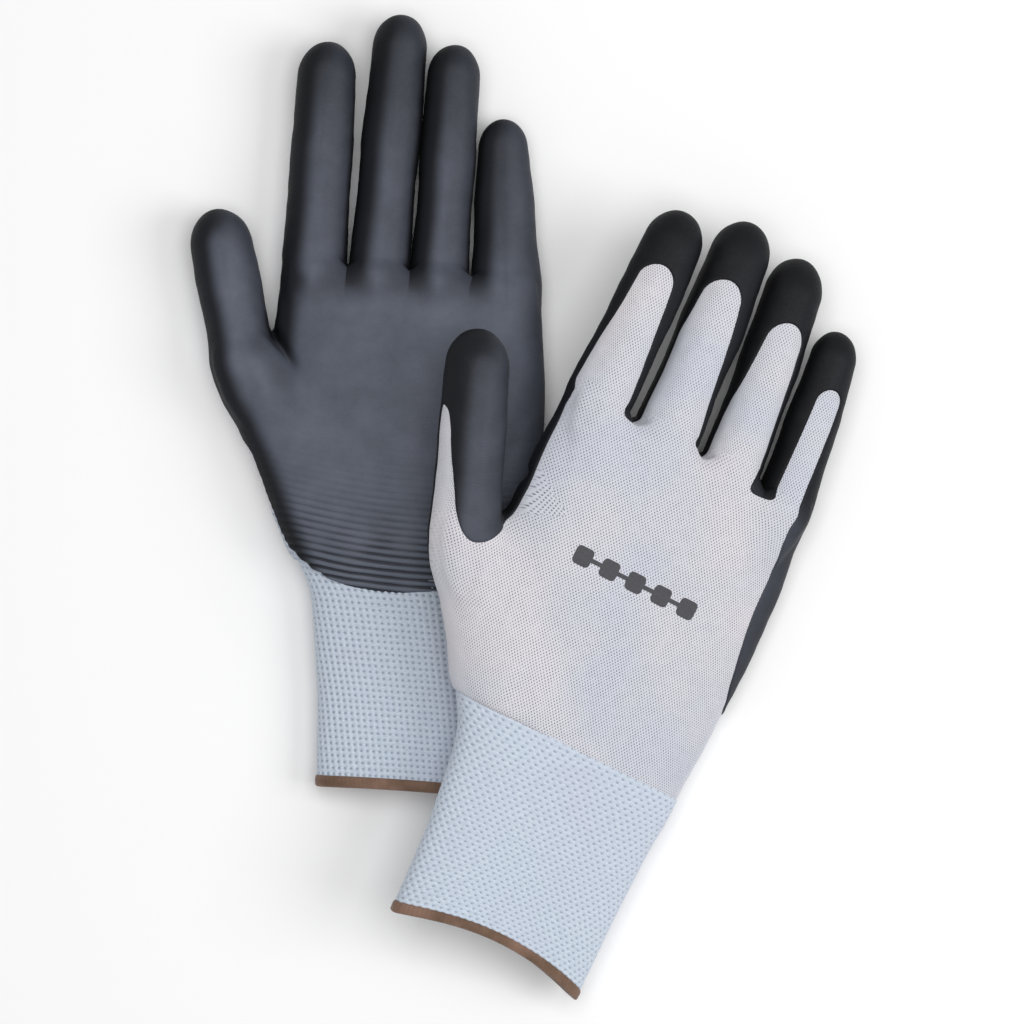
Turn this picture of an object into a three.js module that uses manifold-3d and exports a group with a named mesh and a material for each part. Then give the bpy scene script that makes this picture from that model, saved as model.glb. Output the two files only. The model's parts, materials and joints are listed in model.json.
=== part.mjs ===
// A pair of seamless-knit work gloves with dipped palms, lying on a table.
// The left glove lies palm up on its back. The right glove lies palm down beside it,
// turned and tilted, with its thumb side over the left glove's little-finger side.
// Units are millimetres, +Z up, table top at Z = 0, fingers towards +Y.

import * as THREE from 'three';
import { mergeVertices } from 'three/addons/utils/BufferGeometryUtils.js';
import Module from 'manifold-3d';

const wasm = await Module();
wasm.setup();

// ---- Driving dimensions ------------------------------------------------------------------

// Fabric and dip
const LINER_WALL = 1.2; // knitted nylon liner
const CUFF_WALL = 1.7; // thicker waffle knit with elastic yarn
const DIP_WALL = 0.7; // foam coating on the outside of the liner
const PRINT_WALL = 0.3;
const GAP = 0.3; // between neighbouring pieces

// Glove plan, in its own frame: x across the hand, y along it from the top of the cuff,
// w from the back of the hand (0) towards the palm.
const CUFF_TOP_Y = -9;
const HEM_Y = -71; // free end of the cuff
const HEM_HEIGHT = 3.4;
const HEM_PROUD = 0.7; // binding stands out from the cuff's faces
const HEM_ROUND = 0.8; // its free edge is bevelled over this height
// Sections are [y, left x, right x, thickness, height of the back over w = 0], liner outside.
const CUFF_SECTIONS = [
  [-9.3, -38.4, 33.5, 18, 0],
  [-18, -36.2, 32.8, 17, 0.5],
  [-42, -32.8, 32.6, 15, 0.9],
  [-71, -31, 33.4, 14, 1.2],
];
const FLAT_BACK = 0.8; // depth of the round back that is pressed flat
const HAND_SIDES = 22;
const HAND_SQUARENESS = 2.5; // superellipse power of a hand section
const FINGER_SIDES = 12;
const FINGER_SQUARENESS = 2.2;
const FINGER_BACK = 1.3; // a finger's back stands this far over the back of the hand

// Thumb mound, from the wrist to the thumb's root: centre x, centre y, half width, half height
const MOUND_START = { x: -27, y: -1, halfWidth: 12, halfHeight: 8.5 };
const MOUND_BACK = 1.6;
const MOUND_SLIM = 0.5; // the mound's end is this much narrower than the thumb's root on each side
const MOUND_STATIONS = [0, 0.4, 0.78]; // places of its sections, as parts of the way to that root

// Where the dip ends across the heel of the hand, in plan
const HEEL_LINE = [
  [-62, 20], [-50, 7.5], [-40, -1], [-29, -6.4], [-14, -8], [2, -6], [16, 0.5], [27, 12], [34, 28], [50, 40],
];
const HEEL_CUFF_CORNERS = [[50, -40], [-90, -40], [-90, 20]]; // close the outline round the cuff

// The bare back of the hand, in plan, from the outer edge round to the thumb web.
// The two points without a y lie just below the crotches between the fingers.
const BACK_WINDOW = [
  [-100, -30], [60, -30], [60, 30], [34.2, 30], [30.6, 46], [29.2, 62], [29.4, 78], [28.2, null], [-53, null],
  [-52.4, 66], [-52.6, 54], [-56, 47.5], [-61.5, 44], [-66, 45.6], [-70, 51], [-100, 51],
];
const CROTCH_RIM = 2; // dipped rim below each crotch
const WINDOW_DEPTH = 7; // the bare back wraps this far down the sides
const TONGUE_RATIO = 0.7; // a bare tongue's length as a part of the finger's
const TONGUE_EDGE = 0.8; // a tongue's half width at the root, as a part of the finger's
const TONGUE_TIP = 0.35; // radius of a tongue's round end, as a part of the finger's tip width
const TONGUE_STEPS = 6;
const THUMB_SLIVER = [[-14, -16], [0.5, -16], [-0.3, -2], [-3.4, 8], [-5.2, 18], [-6.2, 34], [-8, 40], [-14, 41]];

// Plain mark on the back of the right glove: a row of small squares on a thin line
const MARK_COUNT = 5;
const MARK_SIZE = 6;
const MARK_PITCH = 9.6;
const MARK_Y = 55;
const MARK_X = -13;
const MARK_CORNER = 1.4;
const MARK_CORNER_STEPS = 2;
const MARK_LINE = 1.4;

// Elastic yarn laid into the inside of each cuff, winding from the hem towards the hand
const ELASTIC_START_Y = -62;
const ELASTIC_END_Y = -24;
const ELASTIC_TURNS = 3;
const ELASTIC_SIZE = 0.9;

// Each glove: place of its own frame, which way the palm looks, how far its width is spread,
// and its fingers.
// A finger is [name, root x, root y, tip x, tip y, root width, tip width, thickness, rise at the tip].
const LEFT_GLOVE = {
  name: 'left',
  palmUp: 1,
  place: [-27.6, -19.9],
  turn: -4.5,
  tilt: 0,
  hemBow: 1,
  widen: 1,
  hand: [
    [-9, -38.6, 33, 18, 0],
    [4, -46.5, 32.6, 20.5, 0],
    [18, -49.5, 31.6, 22, 0],
    [42, -53.6, 30.4, 23, 0],
    [66, -55.6, 28, 22.5, 0],
    [82, -55.4, 25, 20.5, 0.8],
    [90.5, -54.8, 22.6, 19.2, 1.4],
  ],
  fingers: [
    ['index', -45.2, 96, -46.4, 162.5, 18.4, 16.6, 16.5, 4],
    ['middle', -25, 96, -23.7, 172.5, 17.2, 15.2, 16.5, 4],
    ['ring', -5.9, 96, -6.4, 164.5, 16.4, 14.4, 16, 4],
    ['little', 13.2, 94, 9.6, 142.5, 16.2, 12.6, 15, 3],
    ['thumb', -66.8, 65, -78.2, 107, 20.4, 17, 17.5, 3],
  ],
};
const RIGHT_GLOVE = {
  name: 'right',
  palmUp: -1,
  place: [21.5, -78.2],
  turn: -27,
  tilt: 18.5,
  hemBow: 6,
  widen: 1.025,
  hand: [
    [-9, -38.6, 33.6, 18, 0],
    [4, -46.5, 34, 20.5, 0],
    [18, -49.5, 34.8, 22, 0],
    [44, -54, 35, 23, 0],
    [72, -56.6, 34, 22.5, 0],
    [89, -57, 32, 20.5, 0.8],
    [97, -56.4, 30.2, 19.2, 1.4],
  ],
  fingers: [
    ['index', -46.8, 103, -49.2, 165, 18.6, 16.2, 16.5, 6],
    ['middle', -22.6, 103, -27, 171, 18.2, 16, 16.5, 6],
    ['ring', 0.8, 103, -6.8, 168.5, 17.4, 15.4, 16, 6],
    ['little', 21, 100, 13.6, 153.5, 15.4, 12, 15, 4],
    ['thumb', -66, 46, -89.6, 102.5, 20.6, 17.6, 18, 4],
  ],
};
const MID_JOINT = 0.5; // place of a finger's middle joint, as a part of its length
const DOME_RATIO = 0.62; // length of the round tip as a part of the tip width
const DOME_DEPTHS = [0, 0.5, 0.86]; // places of its sections along the round tip
const STUB_LENGTH = 13; // finger root inside the hand
const THUMB_STUB_LENGTH = 22;

// Cutting bodies
const CUT_LOW = -10; // upright cutters run from below the back
const CUT_HIGH = 60; // to above the palm
const CUT_REACH = 4; // an inner body runs past the open end that it cuts
const MERGE_DISTANCE = 1e-4;

// ---- Materials ---------------------------------------------------------------------------

const MATERIALS = {
  liner: new THREE.MeshStandardMaterial({ color: 0xcfd1d8, roughness: 0.95, metalness: 0 }),
  cuff: new THREE.MeshStandardMaterial({ color: 0xc3cdd9, roughness: 0.95, metalness: 0 }),
  dip: new THREE.MeshStandardMaterial({ color: 0x2e3136, roughness: 0.6, metalness: 0 }),
  hem: new THREE.MeshStandardMaterial({ color: 0x94694e, roughness: 0.9, metalness: 0 }),
  elastic: new THREE.MeshStandardMaterial({ color: 0xe6e6e2, roughness: 0.8, metalness: 0 }),
  print: new THREE.MeshStandardMaterial({ color: 0x3b3b40, roughness: 0.8, metalness: 0 }),
};

// ---- Closed geometry from rings ----------------------------------------------------------

const lerp = THREE.MathUtils.lerp;

// Turns a list of triangles over if they enclose a negative volume.
function facingOut(points, triangles) {
  let volume = 0;
  for (const [a, b, c] of triangles) {
    volume += points[a].dot(points[b].clone().cross(points[c]));
  }
  const ordered = volume > 0 ? triangles : triangles.map(([a, b, c]) => [a, c, b]);
  const geometry = new THREE.BufferGeometry();
  geometry.setAttribute('position', new THREE.Float32BufferAttribute(points.flatMap((p) => p.toArray()), 3));
  geometry.setIndex(ordered.flat());
  return geometry;
}

// Joins the rings start and end of a point list with two triangles a side.
function band(triangles, start, end, sides) {
  for (let k = 0; k < sides; k += 1) {
    const next = (k + 1) % sides;
    triangles.push([start + k, start + next, end + next]);
    triangles.push([start + k, end + next, end + k]);
  }
}

// Solid through rings of equal count, closed by a fan at both ends.
function loft(rings) {
  const sides = rings[0].length;
  const points = rings.flat();
  const triangles = [];
  for (let i = 0; i + 1 < rings.length; i += 1) {
    band(triangles, i * sides, (i + 1) * sides, sides);
  }
  const lastRing = (rings.length - 1) * sides;
  points.push(middleOf(rings[0]), middleOf(rings[rings.length - 1]));
  for (let k = 0; k < sides; k += 1) {
    const next = (k + 1) % sides;
    triangles.push([points.length - 2, next, k]);
    triangles.push([points.length - 1, lastRing + k, lastRing + next]);
  }
  return facingOut(points, triangles);
}

// Open tube with a wall, between outer rings and inner rings.
function tube(outer, inner) {
  const sides = outer[0].length;
  const loop = [...outer, ...inner.slice().reverse()];
  const points = loop.flat();
  const triangles = [];
  for (let i = 0; i < loop.length; i += 1) {
    band(triangles, i * sides, ((i + 1) % loop.length) * sides, sides);
  }
  return facingOut(points, triangles);
}

function middleOf(ring) {
  const sum = ring.reduce((total, point) => total.add(point), new THREE.Vector3());
  return sum.divideScalar(ring.length);
}

// ---- Solids for cutting and joining ------------------------------------------------------

function toSolid(geometry) {
  const bare = geometry.clone();
  bare.deleteAttribute('normal');
  bare.deleteAttribute('uv');
  const merged = mergeVertices(bare, MERGE_DISTANCE);
  return new wasm.Manifold(new wasm.Mesh({
    numProp: 3,
    vertProperties: new Float32Array(merged.attributes.position.array),
    triVerts: new Uint32Array(merged.index.array),
  }));
}

function toGeometry(solid) {
  const mesh = solid.getMesh();
  const geometry = new THREE.BufferGeometry();
  geometry.setAttribute('position', new THREE.BufferAttribute(mesh.vertProperties, 3));
  geometry.setIndex(new THREE.BufferAttribute(mesh.triVerts, 1));
  return geometry;
}

// Upright prism over an outline in plan, from w = low to w = high.
function prism(glove, outline, low, high) {
  const shape = new THREE.Shape(outline.map(([x, y]) => new THREE.Vector2(x, y)));
  const body = new THREE.ExtrudeGeometry(shape, { depth: high - low, bevelEnabled: false });
  body.translate(0, 0, glove.palmUp > 0 ? low : -high);
  return toSolid(body);
}

// ---- Sections of the hand and the fingers ------------------------------------------------

// Superellipse about a centre; across is the direction of its width in plan.
function section(glove, sides, power, centre, across, halfWidth, halfHeight, lowest) {
  const ring = [];
  for (let k = 0; k < sides; k += 1) {
    const angle = (2 * Math.PI * (k + 0.5)) / sides;
    const cos = Math.cos(angle);
    const sin = Math.sin(angle);
    const side = Math.sign(cos) * Math.abs(cos) ** (2 / power) * halfWidth;
    const rise = Math.sign(sin) * Math.abs(sin) ** (2 / power) * halfHeight;
    const w = Math.max(centre.w + rise, lowest);
    ring.push(new THREE.Vector3(centre.x + across[0] * side, centre.y + across[1] * side, glove.palmUp * w));
  }
  return ring;
}

// Section of the palm or cuff, grown outwards by offset, at its own y or another.
function handRing(glove, [y, left, right, thickness, back], offset, atY = y) {
  const centre = { x: (glove.widen * (left + right)) / 2, y: atY, w: back + (thickness - FLAT_BACK) / 2 };
  const halfHeight = (thickness + FLAT_BACK) / 2 + offset;
  const halfWidth = (glove.widen * (right - left)) / 2 + offset;
  return section(glove, HAND_SIDES, HAND_SQUARENESS, centre, [1, 0], halfWidth, halfHeight, back - offset);
}

// Palm sections whose closed end, between the fingers, grows by offset too.
function palmRings(glove, offset) {
  const last = glove.hand.length - 1;
  return glove.hand.map((values, i) => handRing(glove, values, offset, values[0] + (i === last ? offset : 0)));
}

function readFinger(glove, [name, plainRootX, rootY, plainTipX, tipY, rootWidth, tipWidth, thickness, rise]) {
  const rootX = glove.widen * plainRootX;
  const tipX = glove.widen * plainTipX;
  const length = Math.hypot(tipX - rootX, tipY - rootY);
  const along = [(tipX - rootX) / length, (tipY - rootY) / length];
  return { name, rootX, rootY, length, along, rootWidth, tipWidth, thickness, rise };
}

// Finger section at a distance s from its root, grown outwards by offset.
function fingerRing(glove, finger, s, offset, roundness = 1) {
  const part = s / finger.length;
  const halfWidth = lerp(finger.rootWidth, finger.tipWidth, part) / 2;
  const slim = lerp(1, finger.tipWidth / finger.rootWidth, Math.max(part, 0));
  const halfHeight = (finger.thickness * slim) / 2;
  const centre = {
    x: finger.rootX + finger.along[0] * s,
    y: finger.rootY + finger.along[1] * s,
    w: FINGER_BACK + halfHeight + finger.rise * Math.max(part, 0) ** 2,
  };
  const across = [finger.along[1], -finger.along[0]];
  const wide = (halfWidth + offset) * roundness;
  const high = (halfHeight + offset) * roundness;
  return section(glove, FINGER_SIDES, FINGER_SQUARENESS, centre, across, wide, high, -Infinity);
}

// Rings of a finger's round tip, from its straight part to almost its end.
function domeRings(glove, finger, offset) {
  const radius = finger.tipWidth * DOME_RATIO;
  const start = finger.length - radius;
  return DOME_DEPTHS.map((depth) => {
    const s = start + depth * (radius + offset);
    return fingerRing(glove, finger, s, offset, Math.sqrt(1 - depth * depth));
  });
}

// ---- The hand ----------------------------------------------------------------------------

// Palm, thumb mound and finger roots as one solid, grown by offset. Its open ends run on by
// reach, so that a smaller copy cuts right through them.
function handSolid(glove, offset, reach) {
  const rings = palmRings(glove, offset);
  const wrist = handRing(glove, glove.hand[0], offset, CUFF_TOP_Y - reach);
  let solid = toSolid(loft(reach > 0 ? [wrist, ...rings] : rings));
  const thumb = glove.fingers.find((finger) => finger.name === 'thumb');
  solid = solid.add(moundSolid(glove, thumb, offset));
  for (const finger of glove.fingers) {
    const inside = finger.name === 'thumb' ? THUMB_STUB_LENGTH : STUB_LENGTH;
    const stub = [-inside - offset, -GAP / 2 + reach].map((s) => fingerRing(glove, finger, s, offset));
    solid = solid.add(toSolid(loft(stub)));
  }
  return solid;
}

function moundSolid(glove, thumb, offset) {
  const span = Math.hypot(thumb.rootX - MOUND_START.x, thumb.rootY - MOUND_START.y);
  const across = [(thumb.rootY - MOUND_START.y) / span, (MOUND_START.x - thumb.rootX) / span];
  const grown = [-offset / span, 0, offset / span];
  const rings = MOUND_STATIONS.map((station, i) => {
    const part = station + grown[i];
    const halfWidth = lerp(MOUND_START.halfWidth, thumb.rootWidth / 2 - MOUND_SLIM, part) + offset;
    const halfHeight = lerp(MOUND_START.halfHeight, thumb.thickness / 2, part);
    const centre = {
      x: lerp(MOUND_START.x, thumb.rootX, part),
      y: lerp(MOUND_START.y, thumb.rootY, part),
      w: lerp(MOUND_BACK, FINGER_BACK, part) + halfHeight,
    };
    return section(glove, FINGER_SIDES, FINGER_SQUARENESS, centre, across, halfWidth, halfHeight + offset, -Infinity);
  });
  return toSolid(loft(rings));
}

function handLiner(glove) {
  return handSolid(glove, 0, 0).subtract(handSolid(glove, -LINER_WALL, CUT_REACH));
}

function palmCoating(glove) {
  const skin = handSolid(glove, GAP + DIP_WALL, 0).subtract(handSolid(glove, GAP, CUT_REACH));
  const belowHeel = prism(glove, [...HEEL_LINE, ...HEEL_CUFF_CORNERS], CUT_LOW, CUT_HIGH);
  const crotchY = glove.hand[glove.hand.length - 1][0];
  const bare = BACK_WINDOW.map(([x, y]) => [x, y ?? crotchY - CROTCH_RIM]);
  let coating = skin.subtract(belowHeel).subtract(prism(glove, bare, CUT_LOW, WINDOW_DEPTH));
  for (const finger of glove.fingers) {
    coating = coating.subtract(bareBack(glove, finger));
  }
  return coating;
}

// The bare knit left on a finger's back: a round-ended tongue, or a sliver on the thumb.
function bareBack(glove, finger) {
  const local = finger.name === 'thumb' ? THUMB_SLIVER : tongueOutline(finger);
  const outline = local.map(([side, s]) => [
    finger.rootX + finger.along[0] * s + finger.along[1] * side,
    finger.rootY + finger.along[1] * s - finger.along[0] * side,
  ]);
  return prism(glove, outline, CUT_LOW, WINDOW_DEPTH);
}

function tongueOutline(finger) {
  const start = -STUB_LENGTH;
  const tipHalf = finger.tipWidth * TONGUE_TIP;
  const rootHalf = (finger.rootWidth / 2) * TONGUE_EDGE;
  const end = finger.length * TONGUE_RATIO - tipHalf;
  const outline = [[-rootHalf, start], [rootHalf, start]];
  for (let k = 0; k <= TONGUE_STEPS; k += 1) {
    const angle = (Math.PI * k) / TONGUE_STEPS;
    outline.push([tipHalf * Math.cos(angle), end + tipHalf * Math.sin(angle)]);
  }
  return outline;
}

// ---- Finger segments ---------------------------------------------------------------------

// The outer side runs from one joint gap to the next, or round the tip.
function segmentSolid(glove, finger, which, offset, reach) {
  const middle = finger.length * MID_JOINT;
  if (which === 'base') {
    const ends = [GAP / 2 - reach, middle - GAP / 2 + reach];
    return toSolid(loft(ends.map((s) => fingerRing(glove, finger, s, offset))));
  }
  const start = fingerRing(glove, finger, middle + GAP / 2 - reach, offset);
  return toSolid(loft([start, ...domeRings(glove, finger, offset)]));
}

function segmentLiner(glove, finger, which) {
  const outside = segmentSolid(glove, finger, which, 0, 0);
  return outside.subtract(segmentSolid(glove, finger, which, -LINER_WALL, CUT_REACH));
}

function segmentCoating(glove, finger, which) {
  const outside = segmentSolid(glove, finger, which, GAP + DIP_WALL, 0);
  const skin = outside.subtract(segmentSolid(glove, finger, which, GAP, CUT_REACH));
  return skin.subtract(bareBack(glove, finger));
}

// ---- The cuff ----------------------------------------------------------------------------

// Section of the cuff at a height. The free edge is bowed towards the hand.
function cuffRing(glove, y, offset) {
  const lower = CUFF_SECTIONS.findIndex((values) => values[0] <= y);
  const [a, b] = [CUFF_SECTIONS[lower - 1] ?? CUFF_SECTIONS[0], CUFF_SECTIONS[lower]];
  const part = a === b ? 0 : (a[0] - y) / (a[0] - b[0]);
  const values = a.map((value, i) => lerp(value, b[i], part));
  const middle = (glove.widen * (values[1] + values[2])) / 2;
  const half = (glove.widen * (values[2] - values[1])) / 2;
  const bow = glove.hemBow * ((CUFF_SECTIONS[0][0] - y) / (CUFF_SECTIONS[0][0] - HEM_Y)) ** 2;
  const ring = handRing(glove, values, offset);
  ring.forEach((point) => {
    point.y += bow * (1 - Math.min(1, Math.abs(point.x - middle) / half) ** 2);
  });
  return ring;
}

function cuffKnit(glove) {
  const heights = [...CUFF_SECTIONS.slice(0, -1).map(([y]) => y), HEM_Y + HEM_HEIGHT + GAP];
  const outer = heights.map((y) => cuffRing(glove, y, 0));
  const inner = heights.map((y) => cuffRing(glove, y, -CUFF_WALL));
  return tube(outer, inner);
}

// Overlock binding round the free edge: a full band, a little proud inside and outside.
function cuffHem(glove) {
  const heights = [HEM_Y + HEM_HEIGHT, HEM_Y + HEM_ROUND, HEM_Y];
  const proud = [HEM_PROUD, HEM_PROUD, 0];
  const outer = heights.map((y, i) => cuffRing(glove, y, proud[i]));
  const inner = heights.map((y, i) => cuffRing(glove, y, -CUFF_WALL - proud[i]));
  return tube(outer, inner);
}

// One elastic yarn, winding round the inside of the cuff.
function cuffElastic(glove) {
  const steps = ELASTIC_TURNS * HAND_SIDES;
  const rings = [];
  for (let i = 0; i <= steps; i += 1) {
    const y = lerp(ELASTIC_START_Y, ELASTIC_END_Y, i / steps);
    const corner = (offset, rise) => cuffRing(glove, y + rise, offset)[i % HAND_SIDES];
    const outside = -CUFF_WALL - GAP;
    const inside = outside - ELASTIC_SIZE;
    const half = ELASTIC_SIZE / 2;
    rings.push([corner(outside, -half), corner(outside, half), corner(inside, half), corner(inside, -half)]);
  }
  return loft(rings);
}

// ---- The mark ----------------------------------------------------------------------------

function roundedSquare(x, y, size, corner) {
  const shape = new THREE.Shape();
  const half = size / 2;
  shape.moveTo(x - half + corner, y - half);
  shape.lineTo(x + half - corner, y - half);
  shape.quadraticCurveTo(x + half, y - half, x + half, y - half + corner);
  shape.lineTo(x + half, y + half - corner);
  shape.quadraticCurveTo(x + half, y + half, x + half - corner, y + half);
  shape.lineTo(x - half + corner, y + half);
  shape.quadraticCurveTo(x - half, y + half, x - half, y + half - corner);
  shape.lineTo(x - half, y - half + corner);
  shape.quadraticCurveTo(x - half, y - half, x - half + corner, y - half);
  const points = shape.getPoints(MARK_CORNER_STEPS);
  return points.slice(0, -1).map((point) => [point.x, point.y]); // the last point repeats the first
}

function backPrint(glove) {
  const palm = (offset) => toSolid(loft(palmRings(glove, offset)));
  const skin = palm(GAP + PRINT_WALL).subtract(palm(GAP));
  const span = ((MARK_COUNT - 1) / 2) * MARK_PITCH;
  const line = MARK_LINE / 2;
  const [left, right] = [MARK_X - span, MARK_X + span];
  const bar = [[left, MARK_Y - line], [right, MARK_Y - line], [right, MARK_Y + line], [left, MARK_Y + line]];
  let mark = prism(glove, bar, CUT_LOW, WINDOW_DEPTH);
  for (let k = 0; k < MARK_COUNT; k += 1) {
    const square = roundedSquare(left + k * MARK_PITCH, MARK_Y, MARK_SIZE, MARK_CORNER);
    mark = mark.add(prism(glove, square, CUT_LOW, WINDOW_DEPTH));
  }
  return skin.intersect(mark);
}

// ---- Assembly ----------------------------------------------------------------------------

function named(name, geometry, material) {
  const mesh = new THREE.Mesh(geometry, material);
  mesh.name = name;
  return mesh;
}

function makeGlove(spec) {
  const glove = { ...spec, fingers: spec.fingers.map((row) => readFinger(spec, row)) };
  const group = new THREE.Group();
  const add = (part, solid, material) => {
    const geometry = solid instanceof THREE.BufferGeometry ? solid : toGeometry(solid);
    group.add(named(`${glove.name}_${part}`, geometry, material));
  };
  add('hand_liner', handLiner(glove), MATERIALS.liner);
  add('palm_coating', palmCoating(glove), MATERIALS.dip);
  add('cuff_knit', cuffKnit(glove), MATERIALS.cuff);
  add('cuff_hem', cuffHem(glove), MATERIALS.hem);
  add('cuff_elastic', cuffElastic(glove), MATERIALS.elastic);
  for (const finger of glove.fingers) {
    for (const which of ['base', 'tip']) {
      add(`${finger.name}_${which}_liner`, segmentLiner(glove, finger, which), MATERIALS.liner);
      add(`${finger.name}_${which}_coating`, segmentCoating(glove, finger, which), MATERIALS.dip);
    }
  }
  if (glove.palmUp < 0) {
    add('back_print', backPrint(glove), MATERIALS.print);
  }
  group.userData.joints = glove.fingers.flatMap((finger) => fingerJoints(glove, finger));
  group.rotation.order = 'ZYX';
  group.rotation.z = THREE.MathUtils.degToRad(glove.turn);
  group.rotation.y = THREE.MathUtils.degToRad(glove.tilt);
  group.position.set(...glove.place, 0);
  group.updateMatrixWorld(true);
  return group;
}

// A finger hinges on the line across the top of its section, where its two parts meet.
function fingerJoints(glove, finger) {
  return [['base', 0], ['tip', finger.length * MID_JOINT]].map(([which, s]) => {
    const ring = fingerRing(glove, finger, s, GAP + DIP_WALL);
    const top = ring.reduce((best, point) => (point.z > best ? point.z : best), -Infinity);
    return {
      name: `${glove.name}_${finger.name}_${which}`,
      point: [finger.rootX + finger.along[0] * s, finger.rootY + finger.along[1] * s, top],
      axis: [finger.along[1], -finger.along[0], 0],
    };
  });
}

// Lowers or raises a group until its lowest point is on the table.
function standOnTable(group) {
  const box = new THREE.Box3().setFromObject(group, true);
  group.position.z -= box.min.z;
  group.updateMatrixWorld(true);
}

const leftGlove = makeGlove(LEFT_GLOVE);
const rightGlove = makeGlove(RIGHT_GLOVE);
standOnTable(leftGlove);
standOnTable(rightGlove);

// The origin is under the middle of the pair.
const pair = new THREE.Group();
pair.add(leftGlove, rightGlove);
const middle = new THREE.Box3().setFromObject(pair, true).getCenter(new THREE.Vector3());
pair.position.set(-middle.x, -middle.y, 0);
pair.updateMatrixWorld(true);

export default pair;
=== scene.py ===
import json
from math import cos, hypot, pi, radians, sin

import bpy
import mathutils
import numpy as np
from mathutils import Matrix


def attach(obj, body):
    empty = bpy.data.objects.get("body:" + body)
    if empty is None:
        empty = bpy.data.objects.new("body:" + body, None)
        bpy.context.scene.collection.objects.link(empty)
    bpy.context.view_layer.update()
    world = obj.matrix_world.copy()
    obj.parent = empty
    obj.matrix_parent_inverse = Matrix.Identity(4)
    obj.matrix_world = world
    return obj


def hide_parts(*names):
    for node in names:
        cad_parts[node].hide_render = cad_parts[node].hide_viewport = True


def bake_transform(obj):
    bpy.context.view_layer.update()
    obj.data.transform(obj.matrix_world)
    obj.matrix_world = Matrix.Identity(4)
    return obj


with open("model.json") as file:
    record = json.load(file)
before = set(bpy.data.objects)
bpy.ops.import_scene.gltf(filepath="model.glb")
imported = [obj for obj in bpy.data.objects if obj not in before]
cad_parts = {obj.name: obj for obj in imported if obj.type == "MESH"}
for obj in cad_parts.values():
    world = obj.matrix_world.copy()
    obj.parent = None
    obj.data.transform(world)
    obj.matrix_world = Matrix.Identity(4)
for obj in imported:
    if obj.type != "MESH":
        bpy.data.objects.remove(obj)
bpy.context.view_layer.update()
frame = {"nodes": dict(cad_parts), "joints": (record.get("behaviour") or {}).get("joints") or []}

# A pair of knitted work gloves with dipped palms. Each glove is worked out in millimetres in its
# own frame: x across the hand, y along it from the top of the cuff towards the fingertips, and w
# from the back of the hand towards the palm. Everything is then placed in the CAD model's frame.

MM = 0.001

# ---- Driving dimensions, in millimetres ----

# Sections of hand and cuff: y, left x, right x, thickness, height of the back
CUFF_TABLE = [(-71, -31, 33.4, 14, 1.2), (-42, -32.8, 32.6, 15, 0.9), (-18, -36.2, 32.8, 17, 0.5)]
LEFT_HAND = [
    (-9, -37.6, 33, 18, 0), (4, -44.6, 32.6, 20.5, 0), (18, -49.5, 31.6, 22, 0),
    (42, -53.6, 30.4, 23, 0), (66, -55.4, 28.8, 22.2, 0), (82, -55, 26.6, 19.6, 0.8),
    (91.5, -54.2, 24.6, 17.4, 1.2),
]
RIGHT_HAND = [
    (-9, -38.6, 33.6, 18, 0), (4, -46.5, 34, 20.5, 0), (18, -49.5, 34.8, 22, 0),
    (44, -54, 35, 23, 0), (72, -56, 33.8, 22.5, 0), (89, -55.8, 31, 20.5, 0.8),
    (98.5, -55.4, 29.4, 17.8, 1.2),
]
# Fingers: root x, root y, tip x, tip y, root width, tip width, thickness, rise at the tip
LEFT_FINGERS = {
    "index": (-45.6, 96, -46.2, 162.5, 18.8, 15.6, 16.5, 4),
    "middle": (-25, 96, -23.7, 172.5, 17.2, 15.2, 16.5, 4),
    "ring": (-5.9, 96, -6.4, 164.5, 16.4, 14.4, 16, 4),
    "little": (15.2, 94, 10.2, 142.5, 20.6, 12.4, 15, 3),
    "thumb": (-65.8, 63, -77.8, 107, 19, 17.2, 17.5, 3),
}
RIGHT_FINGERS = {
    "index": (-46.9, 103, -47.3, 164.5, 19.8, 15.8, 16.5, 6),
    "middle": (-22.5, 103, -26.6, 171, 19.6, 17, 16.5, 6),
    "ring": (1, 103, -6.2, 168.5, 18, 16, 16, 6),
    "little": (21.7, 100, 14.2, 153.5, 17, 12, 15, 4),
    "thumb": (-66, 46, -89.6, 102.5, 20.6, 17.6, 18, 4),
}
FINGER_BACK = 1.3  # height of a finger's back
SKIN_GROW = 0.6  # the knit's face lies this far outside the CAD liner
FLAT_BACK = 0.8
HAND_POWER = 2.5  # superellipse powers of the sections
FINGER_POWER = 2.2
DOME_RATIO = 0.62  # length of a fingertip's dome, as a part of its width
MID_JOINT = 0.5
ROOT_SEAM = 1.8  # from here on the skin is a finger's, not the hand's
THUMB_SEAM = 6.5

# The ball of the thumb: where it starts, half its width and height there, and how round its ends are
MOUND_START = (-28, 3)
MOUND_HALF = (13.5, 8.5)
MOUND_BELLY = 3.6
MOUND_END = 12.0
MOUND_BLEND = 9
# The crease between the ball of the thumb and the index finger
THUMB_CREASE = ((-56, 70), (-43.5, 54))
CREASE_DEPTH = 1.8
CREASE_WIDTH = 2.4
# How softly fingers join the palm: everywhere, on free sides, on faces, in crotches, and at the thumb
JOIN = {"all": 1.2, "outer": 1.5, "face": 3.5, "crotch": 3, "thumb_web": 2.5, "thumb_heel": 3}

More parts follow.
